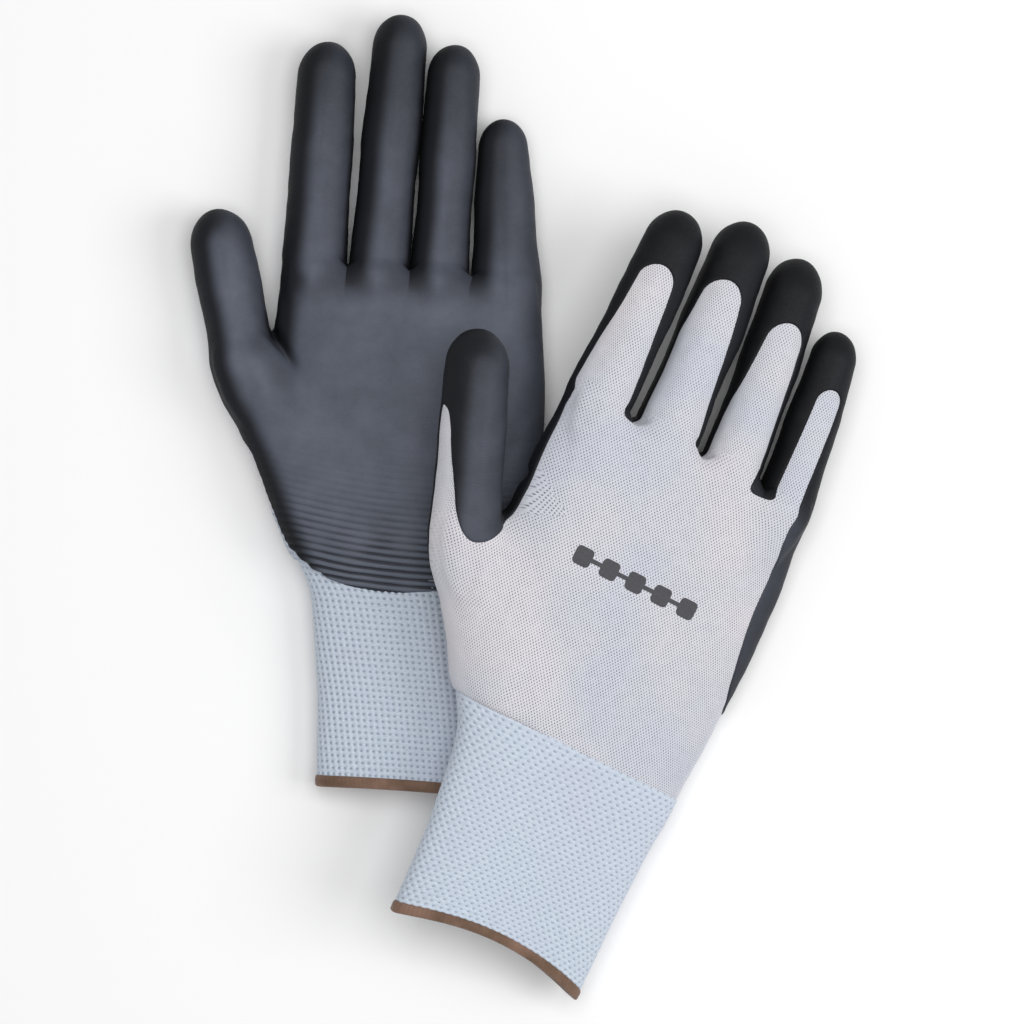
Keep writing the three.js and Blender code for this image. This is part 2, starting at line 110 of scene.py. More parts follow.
# Places in the glove's frame
HEM_Y = -71
HEM_TOP_Y = -67.1
CUFF_TOP_Y = 0.6
HAND_START_Y = -12.0
HEEL_LINE = [
    (-70, 28), (-62, 20), (-50, 7.5), (-40, -1), (-29, -6.4), (-14, -8), (2, -6), (16, 0.5),
    (27, 12), (34, 28), (50, 44),
]
BACK_WINDOW = {
    "left": [
        (-100, -30), (60, -30), (60, 30), (34.2, 30), (30.6, 46), (27.2, 62), (23.4, 78), (20.2, 88),
        (-50, 88), (-51.4, 66), (-53, 58), (-57.4, 53), (-62.5, 53), (-68, 58), (-72, 63), (-100, 63),
    ],
    "right": [
        (-100, -30), (60, -30), (60, 29), (38, 30), (34.4, 35), (31.8, 43), (29.4, 53), (28, 62),
        (27.6, 72), (27, 79), (25.6, 86), (24.3, 92), (23.7, 98), (9, 96.6), (1, 99.5), (-12, 101),
        (-24, 100.5), (-35, 99), (-56.8, 98.5), (-56.4, 66), (-57.6, 55), (-61, 47.5), (-66, 43.6),
        (-70.8, 44.6), (-75.4, 49.4), (-79.2, 55.5), (-84, 62), (-90, 68), (-100, 70),
    ],
}
# Bare tongues up the fingers' backs: half width at the root and near the tip, length as a part of
# the finger's, and how far the root and the tip lie to its side. The stub runs into the window.
TONGUES = {
    "index": (9.2, 5.6, 0.715, -1.7, -2.2),
    "middle": (10.6, 6.1, 0.73, -2.3, -2.5),
    "ring": (9.2, 5.9, 0.71, -2.0, 0.2),
    "little": (4.4, 4.0, 0.69, -1.9, 1.0),
}
TONGUE_STUB = [(0.4, -11), (0.8, -4), (0.98, 1)]
TONGUE_ROUND = 1.15
THUMB_SLIVER = [
    (-16, -16), (-6, -16), (-6.4, -6), (-7.4, 4), (-8.2, 14), (-8.8, 32), (-10.4, 39), (-16, 41),
]
WINDOW_DEPTH = 7.5  # the knit is bare this far round the side
SLIVER_DEPTH = 11.5
EDGE_BLEND = 1.5
TONGUE_BLEND = 3

GRID = 0.8  # spacing of the skin's net
GRID_LOW = (-108.0, HAND_START_Y - GRID / 2, -3.0)
GRID_HIGH = (44.0, 182.0, 30.0)
GRADIENT_STEP = 0.15
UNEVEN = ((0.22, 20, 1), (0.08, 7, 2))  # height, wavelength and seed of the skin's ripples
DIP_FACE = 0.4  # the coating's face above the knit's
DIP_SUNK = -0.9  # beyond its edge the coating dives under the knit
DIP_FROM = -1.6  # the coating and the knit run on this far past the dip's edge
KNIT_TO = 3.0
CUFF_TUCK = 0.9  # the hand's knit dives under the top of the cuff
CUFF_WALL = 1.5
ROOT_BEND = 13.0  # length that bends at a finger's root, and on each side of its middle
MIDDLE_BEND = (4.5, 8.0)

# Each layer of the skin: its material slot and what its pieces are called
LAYERS = {"liner": ("liner_knit", "knit"), "coating": ("palm_dip", "dip")}
# Painted shade: height of the glove's rim, and how far in the painted shade of the rim and of a fold
# reaches
RIM_HEIGHT = 9.5
RIM_REACH = 9
CROWD_REACH = 4

# Knit seen through the dip
COURSE_PITCH = 2.2
COURSE_HEIGHT = 0.32
COURSE_SAG = 0.0022
CRAZE_PITCH = 1.1
# Stitches of the bare knit, and the pinholes between them
WALE_PITCH = 1.05
COURSE_SIZE = 0.9
HOLE_PITCH = (1.15, 1.5)

# Waffle cuff: cells round it, height of a cell, shift from row to row, and how sharp its pits are
WAFFLE = {"left": (74, 1.95, 0.12, 0.9), "right": (60, 1.6, 0.5, 1.3)}
WAFFLE_SAMPLES = 6
WAFFLE_ROWS = 5
WAFFLE_DEPTH = 0.6
CUFF_PROUD = 0.4
INNER_ROWS = 40
BOW_START_Y = -9.3
INNER_RIB = 0.12
HEM_PROUD = 0.75
HEM_COUNT = 640
HEM_PROFILE = 16
HEM_THREADS = 110
HEM_RIDGE = 0.1
ELASTIC_SPAN = (-62, -24)
ELASTIC_RADIUS = 0.45
ELASTIC_AROUND = 160
ELASTIC_TURNS = 3
ELASTIC_SIDES = 8
UV_PER_MM = 0.05

# The camera looks straight down
CAMERA_HEIGHT = 2.2
VIEW_WIDTH = 0.3246
VIEW_CENTRE = (-0.00285, -0.00095)
FLOOR_SIZE = 6.0
FLOOR_Z = -0.0004
SKY_STRENGTH = 0.37
# Area lights: place and size in metres, power in watts
LIGHTS = {
    "overhead": ((0.05, 0.15, 1.6), 1.2, 13.7),
    "side": ((1.1, -0.1, 1.0), 0.8, 8.4),
}

MARK = {
    "count": 5, "size": 6.0, "pitch": 9.6, "x": -13.0, "y": 55.0, "corner": 1.4, "line": 1.4,
    "face": 0.16, "step": 0.2,
}

GLOVES = {
    "left": {
        "up": 1, "turn": -4.5, "tilt": 0.0, "bow": 1.0, "widen": 1.0,
        "hand": LEFT_HAND, "fingers": LEFT_FINGERS,
    },
    "right": {
        "up": -1, "turn": -27.0, "tilt": 18.5, "bow": 6.0, "widen": 1.025,
        "hand": RIGHT_HAND, "fingers": RIGHT_FINGERS,
    },
}


# ---- Small helpers ----

def smooth(t):
    """0 below 0, 1 above 1, and smooth between."""
    t = np.clip(t, 0.0, 1.0)
    return t * t * (3 - 2 * t)


def smooth_min(a, b, k):
    h = np.clip(0.5 + 0.5 * (b - a) / k, 0, 1)
    return b + (a - b) * h - k * h * (1 - h)


def smooth_max(a, b, k):
    return -smooth_min(-a, -b, k)


def rounded(points, closed=True, steps=6):
    """Catmull-Rom curve through a few outline points."""
    p = np.array(points, float)
    n = len(p)
    out = []
    for i in range(n if closed else n - 1):
        pick = [p[(i + k) % n] if closed else p[min(max(i + k, 0), n - 1)] for k in (-1, 0, 1, 2)]
        for step in range(steps):
            t = step / steps
            out.append(0.5 * (2 * pick[1] + (pick[2] - pick[0]) * t
                              + (2 * pick[0] - 5 * pick[1] + 4 * pick[2] - pick[3]) * t * t
                              + (3 * pick[1] - pick[0] - 3 * pick[2] + pick[3]) * t ** 3))
    return np.array(out)


def outline_distance(x, y, outline):
    """Distance to a closed outline in plan, positive outside it."""
    best = np.full(x.shape, 1e9)
    inside = np.zeros(x.shape, bool)
    for a, b in zip(outline, np.roll(outline, -1, axis=0)):
        d = b - a
        length = d @ d
        if length < 1e-12:
            continue
        t = np.clip(((x - a[0]) * d[0] + (y - a[1]) * d[1]) / length, 0, 1)
        best = np.minimum(best, (x - a[0] - t * d[0]) ** 2 + (y - a[1] - t * d[1]) ** 2)
        crosses = (a[1] > y) != (b[1] > y)
        at = a[0] + (y - a[1]) * d[0] / (d[1] if abs(d[1]) > 1e-12 else 1e-12)
        inside ^= crosses & (x < at)
    return np.sqrt(best) * np.where(inside, -1, 1)


def line_place(x, y, a, b):
    """Part of the way along the line from a to b in plan, held to it, and the distance from it."""
    (ax, ay), (bx, by) = a, b
    length = hypot(bx - ax, by - ay)
    part = np.clip(((x - ax) * (bx - ax) + (y - ay) * (by - ay)) / length ** 2, 0, 1)
    return part, np.hypot(x - ax - part * (bx - ax), y - ay - part * (by - ay))


def ripple(p, wave, seed):
    """Soft unevenness from a few fixed sine waves, between about -1 and 1."""
    rng = np.random.default_rng(seed)
    total = np.zeros(len(p))
    for _ in range(7):
        direction = rng.normal(size=3)
        direction /= np.linalg.norm(direction)
        turns = 2 * pi / (wave * rng.uniform(0.7, 1.5))
        total += np.sin(p @ direction * turns + rng.uniform(0, 6.3))
    return total / 3.5


def unevenness(p):
    """Height of the skin's ripples."""
    return sum(height * ripple(p, wave, seed) for height, wave, seed in UNEVEN)


# ---- The glove's form ----

class Finger:
    """One finger, with s along it from its root and side across it."""

    def __init__(self, name, row, widen):
        root_x, root_y, tip_x, tip_y, self.root_width, self.tip_width, self.thick, self.rise = row
        self.name = name
        self.root = np.array([root_x * widen, root_y])
        reach = np.array([tip_x * widen, tip_y]) - self.root
        self.length = np.linalg.norm(reach)
        self.along = reach / self.length
        self.middle = self.length * MID_JOINT
        self.seam = THUMB_SEAM if name == "thumb" else ROOT_SEAM

    def place(self, x, y):
        """Distance along the finger and to its side."""
        dx, dy = x - self.root[0], y - self.root[1]
        return dx * self.along[0] + dy * self.along[1], dx * self.along[1] - dy * self.along[0]

    def sizes(self, s):
        """Half width, half height and middle height at s, a little fuller at the middle joint."""
        part = np.clip(s / self.length, -0.4, 1)
        knuckle = 0.35 * np.exp(-((s - self.middle) / 7) ** 2)
        bulge = knuckle - 0.3 * np.exp(-((s - self.middle * 0.45) / 9) ** 2)
        wide = (self.root_width + (self.tip_width - self.root_width) * part) / 2 + SKIN_GROW + bulge
        slim = 1 + (self.tip_width / self.root_width - 1) * np.maximum(part, 0)
        high = self.thick * slim / 2
        centre = FINGER_BACK + high + self.rise * np.maximum(part, 0) ** 2
        return wide, high + SKIN_GROW, centre

    def field(self, x, y, w):
        s, side = self.place(x, y)
        wide, high, centre = self.sizes(s)
        radius = self.tip_width * DOME_RATIO
        q = np.maximum((s - (self.length - radius)) / (radius + SKIN_GROW), 0)
        inside = 1 - 0.45 * smooth(-s / 22)
        d = shell_distance(side, w - centre, wide * inside, high * inside, FINGER_POWER, q, radius)
        return smooth_max(d, -(s + 18), 8)

    def outer(self, side):
        """1 on the free side of an outermost finger, 0 on a side that has a neighbour."""
        towards = {"index": -1, "thumb": -1, "little": 1}.get(self.name, 0)
        return smooth(side * towards / 5) if towards else 0.0


def shell_distance(side, rise, wide, high, power, q=None, radius=1.0):
    """Nearly the distance to a superellipse section, and to a round end where q rises from 0 to 1."""
    a = np.abs(side) / wide + 1e-6
    b = np.abs(rise) / high + 1e-6
    rho = (a ** power + b ** power) ** (1 / power)
    slope_side = rho ** (1 - power) * a ** (power - 1) / wide
    slope_rise = rho ** (1 - power) * b ** (power - 1) / high
    if q is None:
        return (rho - 1) / np.sqrt(slope_side ** 2 + slope_rise ** 2)
    h = np.sqrt(rho ** 2 + q ** 2) + 1e-9
    slope = np.sqrt((rho / h) ** 2 * (slope_side ** 2 + slope_rise ** 2) + (q / (h * radius)) ** 2)
    return (h - 1) / slope


class Glove:
    """One glove's form, as a field in millimetres that is negative inside the skin."""

    def __init__(self, side):
        spec = GLOVES[side]
        self.side = side
        self.up = spec["up"]
        self.bow = spec["bow"]
        self.widen = spec["widen"]
        self.fingers = [Finger(name, row, self.widen) for name, row in spec["fingers"].items()]
        self.thumb = self.fingers[-1]
        self.end_y = spec["hand"][-1][0]
        rows = np.array(CUFF_TABLE + spec["hand"], float)
        self.table_y = np.linspace(-100, 130, 461)
        window = np.hanning(29)
        window /= window.sum()
        self.table = []
        for column in range(1, 5):
            line = np.interp(self.table_y, rows[:, 0], rows[:, column])
            self.table.append(np.convolve(np.pad(line, 14, mode="edge"), window, mode="valid"))
        turn, tilt = radians(spec["turn"]), radians(spec["tilt"])
        about_z = [[cos(turn), -sin(turn), 0], [sin(turn), cos(turn), 0], [0, 0, 1]]
        about_y = [[cos(tilt), 0, sin(tilt)], [0, 1, 0], [-sin(tilt), 0, cos(tilt)]]
        self.rotation = np.array(about_z) @ about_y
        self.shift = self.find_shift()

    def find_shift(self):
        """Where the glove's frame lies: x and y from its index hinge, height from its flat back."""
        joint = next(j for j in frame["joints"] if j["name"] == f"{self.side}_index_base_bend")
        hinge = np.array(joint["pos_m"]) @ self.rotation / MM
        liner = frame["nodes"][f"{self.side}_hand_liner"].data
        points = np.array([v.co for v in liner.vertices]) @ self.rotation / MM
        back = points[:, 2].min() if self.up > 0 else points[:, 2].max()
        return np.array([hinge[0] - self.fingers[0].root[0], hinge[1] - self.fingers[0].root[1], back])

    def to_world(self, points):
        """Points x, y, w in millimetres, to metres in the CAD frame."""
        local = points * [1, 1, self.up] + self.shift
        return local @ self.rotation.T * MM

    def section(self, y):
        """Middle x, half width, middle height, half height and height of the back at y."""
        left, right, thick, back = (np.interp(y, self.table_y, column) for column in self.table)
        centre_x = self.widen * (left + right) / 2
        wide = self.widen * (right - left) / 2 + SKIN_GROW
        high = (thick + FLAT_BACK) / 2 + SKIN_GROW
        return centre_x, wide, back + (thick - FLAT_BACK) / 2, high, back

    def palm_field(self, x, y, w):
        centre_x, wide, centre_w, high, back = self.section(y)
        d = shell_distance(x - centre_x, w - centre_w, wide, high, HAND_POWER)
        d = smooth_max(d, -(w - back - self.rest_height()), 1.2)
        return smooth_max(d, y - self.end_y - SKIN_GROW, 6)

    def rest_height(self):
        """How far the back is flattened where it lies on the table."""
        return 0.45 if self.up > 0 else -SKIN_GROW

    def mound_field(self, x, y, w):
        """The ball of the thumb, which keeps off the cuff."""
        start = np.array(MOUND_START, float)
        reach = self.thumb.root - start
        span = np.linalg.norm(reach)
        along = reach / span
        s = (x - start[0]) * along[0] + (y - start[1]) * along[1]
        side = (x - start[0]) * along[1] - (y - start[1]) * along[0]
        part = np.clip(s / span, 0, 1)
        wide = MOUND_HALF[0] + (self.thumb.root_width / 2 - MOUND_HALF[0]) * part
        wide = wide + SKIN_GROW + MOUND_BELLY * part * (1 - part)
        high = MOUND_HALF[1] + (self.thumb.thick / 2 - MOUND_HALF[1]) * part + SKIN_GROW
        centre = FINGER_BACK + high - SKIN_GROW + 0.4
        q = np.abs(np.clip(s / MOUND_END, -10, 0)) + np.clip((s - span + 4) / MOUND_END, 0, 10)
        d = shell_distance(side, w - centre, wide, high, FINGER_POWER, q, MOUND_END)
        return d + 6 * smooth((3 - y) / 10)

    def parts(self, x, y, w):
        """The palm's field, with its crease, and each finger's."""
        palm = smooth_min(self.palm_field(x, y, w), self.mound_field(x, y, w), MOUND_BLEND)
        along, off = line_place(x, y, *THUMB_CREASE)
        across = np.exp(-(off / CREASE_WIDTH) ** 2) * smooth((1 - along) / 0.7)
        palm = palm + CREASE_DEPTH * across * smooth((w - 7) / 6)
        return palm, [finger.field(x, y, w) for finger in self.fingers]

    def field(self, x, y, w):
        palm, fingers = self.parts(x, y, w)
        total = palm
        for finger, d in zip(self.fingers, fingers):
            s, side = finger.place(x, y)
            _, high, centre = finger.sizes(s)
            face = smooth((np.abs(w - centre) / high - 0.45) / 0.4)
            k = JOIN["all"] + JOIN["outer"] * finger.outer(side) * smooth((16 - s) / 14)
            k = k + JOIN["face"] * face * smooth((12 - s) / 12)
            if finger is self.thumb:
                k = k + JOIN["thumb_web"] * smooth(side / 5) * smooth((4 - s) / 10)
                k = k + JOIN["thumb_heel"] * smooth((-s - 4) / 10)
            else:
                k = k + JOIN["crotch"] * (1 - finger.outer(side)) * smooth((4 - s) / 8)
            total = np.minimum(total, smooth_min(palm, d, k))
        return total

    def gradient(self, p):
        """Outward unit normals."""
        out = np.empty_like(p)
        for k in range(3):
            ahead, behind = p.copy(), p.copy()
            ahead[:, k] += GRADIENT_STEP
            behind[:, k] -= GRADIENT_STEP
            out[:, k] = self.field(*ahead.T) - self.field(*behind.T)
        return out / np.maximum(np.linalg.norm(out, axis=1, keepdims=True), 1e-9)

    def onto_skin(self, p, rounds):
        for _ in range(rounds):
            p = p - self.gradient(p) * np.clip(self.field(*p.T), -1, 1)[:, None]
        return p


def surface_net(field, origin, step):
    """Quads of the zero surface of a field sampled on a grid; the net stays open at the grid's faces."""
    sign = field < 0
    corners = [(i, j, k) for i in (0, 1) for j in (0, 1) for k in (0, 1)]
    shape = np.array(field.shape) - 1

    def take(a, c):
        return a[tuple(slice(k, k + n) for k, n in zip(c, shape))]

    count = sum(take(sign, c).astype(np.int8) for c in corners)
    active = (count > 0) & (count < 8)
    number = np.full(active.shape, -1, np.int64)
    cells = np.argwhere(active)
    number[active] = np.arange(len(cells))
    total = np.zeros((len(cells), 3))
    hits = np.zeros(len(cells))
    for a in corners:
        for axis in range(3):
            if a[axis] == 1:
                continue
            b = list(a)
            b[axis] = 1
            va, vb = take(field, a)[active], take(field, b)[active]
            cross = (va < 0) != (vb < 0)
            va, vb = va[cross], vb[cross]
            point = np.tile(np.array(a, float), (len(va), 1))
            point[:, axis] = va / (va - vb)
            total[cross] += point
            hits[cross] += 1
    points = origin + (cells + total / hits[:, None]) * step
    quads = []
    for axis in range(3):
        u, v = [(1, 2), (2, 0), (0, 1)][axis]
        near = [slice(1, None)] * 3
        near[axis] = slice(None, -1)
        near[u] = slice(1, active.shape[u])
        near[v] = slice(1, active.shape[v])
        far = list(near)
        far[axis] = slice(1, None)
        low, high = sign[tuple(near)], sign[tuple(far)]
        change = low != high
        at = np.argwhere(change)
        at[:, u] += 1
        at[:, v] += 1
        cells_round = []
        for du, dv in ((1, 1), (0, 1), (0, 0), (1, 0)):
            cell = at.copy()
            cell[:, u] -= du
            cell[:, v] -= dv
            cells_round.append(number[tuple(cell.T)])
        quad = np.stack(cells_round, axis=1)
        leaving = low[change]
        quad[~leaving] = quad[~leaving][:, ::-1]
        quads.append(quad[(quad >= 0).all(axis=1)])
    return points, np.concatenate(quads)


def relax(glove, points, quads, fixed, rounds=4):
    """Evens out the net along the skin."""
    edges = np.concatenate([quads[:, [i, (i + 1) % 4]] for i in range(4)])
    both = np.concatenate([edges, edges[:, ::-1]])
    degree = np.bincount(both[:, 0], minlength=len(points))
    for _ in range(rounds):
        near = [np.bincount(both[:, 0], points[both[:, 1], k], len(points)) for k in range(3)]
        moved = points + 0.6 * (np.stack(near, axis=1) / degree[:, None] - points)
        moved[fixed] = points[fixed]
        points = glove.onto_skin(moved, 1)
        points[fixed, 1] = HAND_START_Y
    return glove.onto_skin(points, 2)


def make_skin(glove):
    """The hand's and fingers' skin: points and quads."""
    low, high = np.array(GRID_LOW), np.array(GRID_HIGH)
    size = np.ceil((high - low) / GRID).astype(int)
    axes = [low[k] + GRID * np.arange(size[k]) for k in range(3)]
    x, y, w = (a.astype(np.float32) for a in np.meshgrid(*axes, indexing="ij"))
    field = np.empty(x.shape, np.float32)
    for i in range(0, size[0], 16):  # in slabs, to spare memory
        field[i:i + 16] = glove.field(x[i:i + 16], y[i:i + 16], w[i:i + 16])
    points, quads = surface_net(field, low, GRID)
    fixed = points[:, 1] < HAND_START_Y + GRID * 0.9
    return relax(glove, points, quads, fixed), quads


def finer(glove, points, quads, fixed):
    """Splits every quad in four and lays the new points on the skin."""
    edges = np.sort(np.concatenate([quads[:, [i, (i + 1) % 4]] for i in range(4)]), axis=1)
    unique, back = np.unique(edges[:, 0] * len(points) + edges[:, 1], return_inverse=True)
    ends = np.stack([unique // len(points), unique % len(points)], axis=1)
    middles = points[ends].mean(axis=1)
    centres = points[quads].mean(axis=1)
    flat = fixed[ends].all(axis=1)
    new = glove.onto_skin(np.concatenate([middles, centres]), 2)
    new[:len(ends)][flat, 1] = HAND_START_Y
    on_edge = len(points) + back.reshape(4, len(quads)).T
    on_face = len(points) + len(ends) + np.arange(len(quads))
    quarters = [[quads[:, i], on_edge[:, i], on_face, on_edge[:, i - 1]] for i in range(4)]
    return np.concatenate([points, new]), np.array(quarters).transpose(2, 0, 1).reshape(-1, 4)


# ---- Where the dip lies ----

def tongue_outline(finger):
    """A bare tongue's outline, as side and s."""
    root_half, tip_half, ratio, root_side, tip_side = TONGUES[finger.name]
    end = finger.length * ratio
    shoulder = end - tip_half * TONGUE_ROUND
    left = [(-root_half * part, s) for part, s in TONGUE_STUB]
    right = [(root_half * part, s) for part, s in TONGUE_STUB]
    arc = [(tip_half * cos(a), shoulder + tip_half * TONGUE_ROUND * sin(a))
           for a in np.linspace(0, pi, 13)]
    outline = np.array(right + arc + left[::-1])
    outline[:, 0] += root_side + (tip_side - root_side) * np.clip(outline[:, 1] / end, 0, 1)
    return outline


def dip_distance(glove, p):
    """Distance in plan from the dip's edge, positive where the knit is coated."""
    x, y, w = p.T
    knit_below = np.array(HEEL_LINE + [(60, -60), (-120, -60), (-120, 28)], float)
    heel = np.concatenate([rounded(HEEL_LINE, closed=False), knit_below[len(HEEL_LINE):]])
    total = outline_distance(x, y, heel)
    window = outline_distance(x, y, rounded(BACK_WINDOW[glove.side]))
    thumb_side = 7 * smooth((-x - 28) / 12) * smooth((44 - y) / 12)
    total = np.minimum(total, smooth_max(window, w - WINDOW_DEPTH - thumb_side, EDGE_BLEND))
    for finger in glove.fingers:
        s, side = finger.place(x, y)
        thumb = finger is glove.thumb
        outline = rounded(THUMB_SLIVER) if thumb else tongue_outline(finger)
        near = np.abs(side) < 16
        bare = np.full(len(p), 1e3)
        bare[near] = outline_distance(side[near], s[near], outline)
        rise = finger.rise * np.clip(s / finger.length, 0, 1) ** 2
        depth = SLIVER_DEPTH if thumb else WINDOW_DEPTH + rise
        total = smooth_min(total, smooth_max(bare, w - depth, EDGE_BLEND), TONGUE_BLEND)
    return total


def dip_height(p, d):
    """The coating's face over the knit's. It is raised where it runs over the top of the cuff."""
    over_cuff = smooth((CUFF_TOP_Y + 2 - p[:, 1]) / 3)
    face = DIP_FACE + (CUFF_PROUD + 0.1) * over_cuff
    sunk = DIP_SUNK - 0.5 * over_cuff
    return sunk + (face - sunk) * smooth((d + 1.0) / 1.6)


def course_ridges(p):
    """Courses of the knit that show through the dip, strongest at the heel of the palm."""
    x, y, w = p.T
    course = y - COURSE_SAG * (x + 5) ** 2
    above = np.maximum(y + 8, 0)
    heel = 0.75 * np.exp(-((above / 15) ** 2)) + 0.25 * np.exp(-((above / 34) ** 2))
    palm = smooth((w - 4) / 6)
    uneven = 1 + 0.35 * ripple(p, 14, 5)
    return COURSE_HEIGHT * (heel * palm) * uneven * np.cos(2 * pi * course / COURSE_PITCH)


# ---- Pieces of skin ----

def owner_of(glove, p):
    """Each point's finger as its number, or -1 for the hand, and how far along each finger it is."""
    x, y, w = p.T
    _, fields = glove.parts(x, y, w)
    best = np.argmin(fields, axis=0)
    along = np.array([f.place(x, y)[0] for f in glove.fingers])
    seams = np.array([f.seam for f in glove.fingers])
    beyond = along[best, np.arange(len(p))] > seams[best]
    return np.where(beyond, best, -1), along


def knit_places(glove, p, quads, owner):
    """Quad corners' places in the knit, in millimetres, across its wales and along them. They run
    on round the sides, where the surface turns away from the face that shows."""
    x, y, w = p.T
    centre_x, wide, centre_w, high, _ = glove.section(y)
    shown = centre_w + high * glove.up
    flat = smooth((glove.end_y - 4 - y) / 12) * np.where(x < centre_x, smooth((34 - y) / 14), 1)
    across = x + flat * np.abs(w - shown) * np.clip((x - centre_x) / (wide * 0.4), -1, 1)
    corners = np.stack([across, y], axis=1)[quads]
    for number, finger in enumerate(glove.fingers):
        mine = owner == number
        s, side = finger.place(x, y)
        half, tall, centre = finger.sizes(s)
        shown = centre + tall * glove.up
        across = side * (finger.root_width / 2 + SKIN_GROW) / half
        across = across + np.abs(w - shown) * np.clip(side / (half * 0.6), -1, 1)
        local = np.stack([finger.root[0] + across, finger.root[1] + s], axis=1)
        corners[mine] = local[quads[mine]]
    return corners


def linked(name, data):
    """A new object in the scene."""
    made = bpy.data.objects.new(name, data)
    bpy.context.scene.collection.objects.link(made)
    return made


def make_piece(glove, name, slot, points, quads, places, attributes):
    """A mesh object from points in the glove's frame, in millimetres, with values at the points."""
    used, back = np.unique(quads, return_inverse=True)
    world = glove.to_world(points[used])
    world[:, 2] = np.maximum(world[:, 2], 0)
    faces = back.reshape(quads.shape)
    if glove.up < 0:
        faces = faces[:, ::-1]
        places = places[:, ::-1]
    name = f"{glove.side}_{name}"
    mesh = bpy.data.meshes.new(name)
    mesh.vertices.add(len(world))
    mesh.vertices.foreach_set("co", world.astype(np.float32).ravel())
    mesh.loops.add(faces.size)
    mesh.loops.foreach_set("vertex_index", faces.astype(np.int32).ravel())
    mesh.polygons.add(len(faces))
    mesh.polygons.foreach_set("loop_start", (np.arange(len(faces)) * 4).astype(np.int32))
    mesh.update(calc_edges=True)
    mesh.polygons.foreach_set("use_smooth", np.ones(len(faces), bool))
    uv = mesh.uv_layers.new(name="knit")
    uv.data.foreach_set("uv", (places * UV_PER_MM).astype(np.float32).ravel())
    for key, values in attributes.items():
        layer = mesh.attributes.new(key, "FLOAT", "POINT")
        layer.data.foreach_set("value", values[used].astype(np.float32))
    rest = mesh.attributes.new("place", "FLOAT_VECTOR", "POINT")
    rest.data.foreach_set("vector", points[used].astype(np.float32).ravel())
    mesh.materials.append(MATERIALS[slot])
    piece = linked(name, mesh)
    return piece


def skin_sections(glove, owner, along):
    """Each piece of skin: its name, its quads, its finger, and the span along it that bends."""
    yield "hand", owner == -1, None, None
    for number, finger in enumerate(glove.fingers):
        cut = finger.middle - MIDDLE_BEND[0]
        mine = owner == number
        bend = min(finger.seam + ROOT_BEND, cut)
        yield f"{finger.name}_root", mine & (along[number] <= cut), finger, (finger.seam, bend)
        span = (cut, finger.middle + MIDDLE_BEND[1])
        yield f"{finger.name}_end", mine & (along[number] > cut), finger, span


def ride_hand(glove, piece, node):
    """Lets a piece move with the hand and stand for a CAD node."""
    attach(piece, f"{glove.side}_hand")
    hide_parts(f"{glove.side}_{node}")


def place_piece(glove, piece, section, finger, span, layer):
    """Lets a hand piece ride with the hand; a finger piece only has its transform baked. Each stands for
    its CAD node.
    """
    if finger is None:
        ride_hand(glove, piece, "hand_liner" if layer == "liner" else "palm_coating")
        return
    places = [[*(finger.root + finger.along * s), finger.thick / 2] for s in span]
    start, end = glove.to_world(np.array(places))
    base, tip = (f"{glove.side}_{finger.name}_{part}" for part in ("base", "tip"))
    bodies = (f"{glove.side}_hand", base) if section.endswith("root") else (base, tip)
    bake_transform(piece)
    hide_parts(f"{bodies[1]}_{layer}")


def painted_coating_shade(glove, x, y):
    """How much painted shade darkens the coating, from 0 to 1: most on the fingers of a palm-down glove.
    """
    if glove.up > 0:
        return 0.25 * smooth((y - 90) / 15) + 0.3 * smooth((y - 120) / 40)
    fingers = smooth((y - 82) / 22) * smooth((x + 62) / 8)
    edge = 0.55 * smooth((x + 10) / 30)
    thumb_tip = 0.3 * smooth((glove.thumb.place(x, y)[0] - 10) / 40) * smooth((-60 - x) / 6)
    return np.maximum(np.maximum(fingers, edge), np.maximum(thumb_tip, 0.42))


def painted_shade_and_masks(glove, p, normal):
    """Values from 0 to 1 at the skin's points, for the materials: painted shade at the rim, in folds and
    on the coating's fingers, and masks that fade the pinholes on steep faces and lay the waffle near the
    cuff.
    """
    x, y, w = p.T
    inset = RIM_REACH + glove.field(x, y, np.full(len(p), RIM_HEIGHT))
    # Painted shade at the glove's rim: full and wide on faces turned left, away from the side light,
    # half as strong on the others
    left = smooth(0.5 - 1.3 * normal[:, 0])
    # Painted shade in folds and between the fingers, from how hemmed in a point is by the skin nearby
    hemmed_in = glove.field(*(p + normal * CROWD_REACH).T) / CROWD_REACH
    return {
        "painted_rim_shade": left * smooth(inset / 5.5) + (1 - left) * 0.5 * smooth(inset / RIM_REACH),
        "painted_fold_shade": np.clip(1 - hemmed_in, 0, 1),
        # Painted shade on the coating: on the fingers, and over much of the palm-down glove
        "tone": painted_coating_shade(glove, x, y),
        "steep": smooth((0.86 - np.abs(normal[:, 2])) / 0.3),
        "waffle": smooth((17 - y) / 4) * smooth((w - 5) / 4) * (glove.up > 0),
    }


